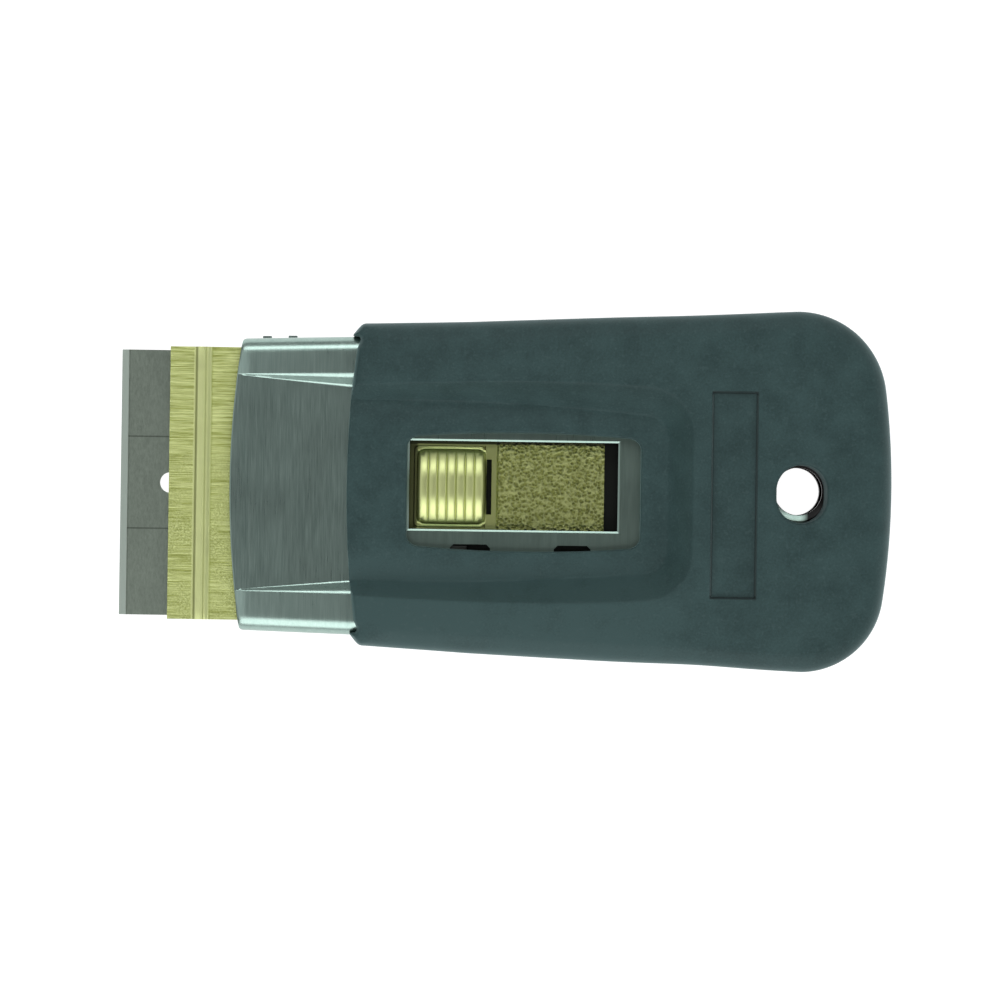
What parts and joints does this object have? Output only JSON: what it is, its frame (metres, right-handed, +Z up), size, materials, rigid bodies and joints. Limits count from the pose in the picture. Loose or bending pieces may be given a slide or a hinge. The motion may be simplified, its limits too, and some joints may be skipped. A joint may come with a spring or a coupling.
{
  "type": "razor blade scraper",
  "caption": "Hand scraper that takes a single edge razor blade, with a thumb button to draw the blade in and a rubber grip with a hang hole.",
  "frame": {"origin": "middle of the tool's length and width, at the underside of the grip", "axes": "+X from the cutting edge to the tail, +Y across the tool, +Z up out of the side with the thumb button"},
  "size_m": [0.1104, 0.0512, 0.0119],
  "materials": {
    "grip_rubber": "matte, dark grey green",
    "brushed_steel": "stainless, brushed across the tool",
    "rivet_steel": "plain steel",
    "yellow_plating": "yellow passivated plating on steel, fine scratches",
    "spring_steel": "dark spring steel",
    "blade_steel": "ground blade steel",
    "spine_steel": "folded strip"
  },
  "bodies": {
    "handle": {"grip_sleeve": "grip_rubber", "housing_top": "brushed_steel", "housing_base": "brushed_steel", "tail_rivets": "rivet_steel"},
    "carrier": {"carrier_plate": "yellow_plating", "carrier_jaw": "yellow_plating", "carrier_rivets": "rivet_steel", "spring_rivet": "rivet_steel", "latch_spring": "spring_steel"},
    "button": {"thumb_button": "yellow_plating"},
    "blade": {"razor_blade": "blade_steel", "blade_spine": "spine_steel"}
  },
  "joints": [
    {"name": "carrier_slide", "type": "slide", "parent": "handle", "child": "carrier", "axis": [1, 0, 0], "range_m": [0, 0.0177]},
    {"name": "button_press", "type": "slide", "parent": "carrier", "child": "button", "axis": [0, 0, -1], "range_m": [0, 0.00075], "stiffness_N_per_m": 2000, "springref_m": -0.001, "deforming": ["latch_spring"]},
    {"name": "blade_draw", "type": "slide", "parent": "carrier", "child": "blade", "axis": [-1, 0, 0], "range_m": [0, 0.022]}
  ]
}
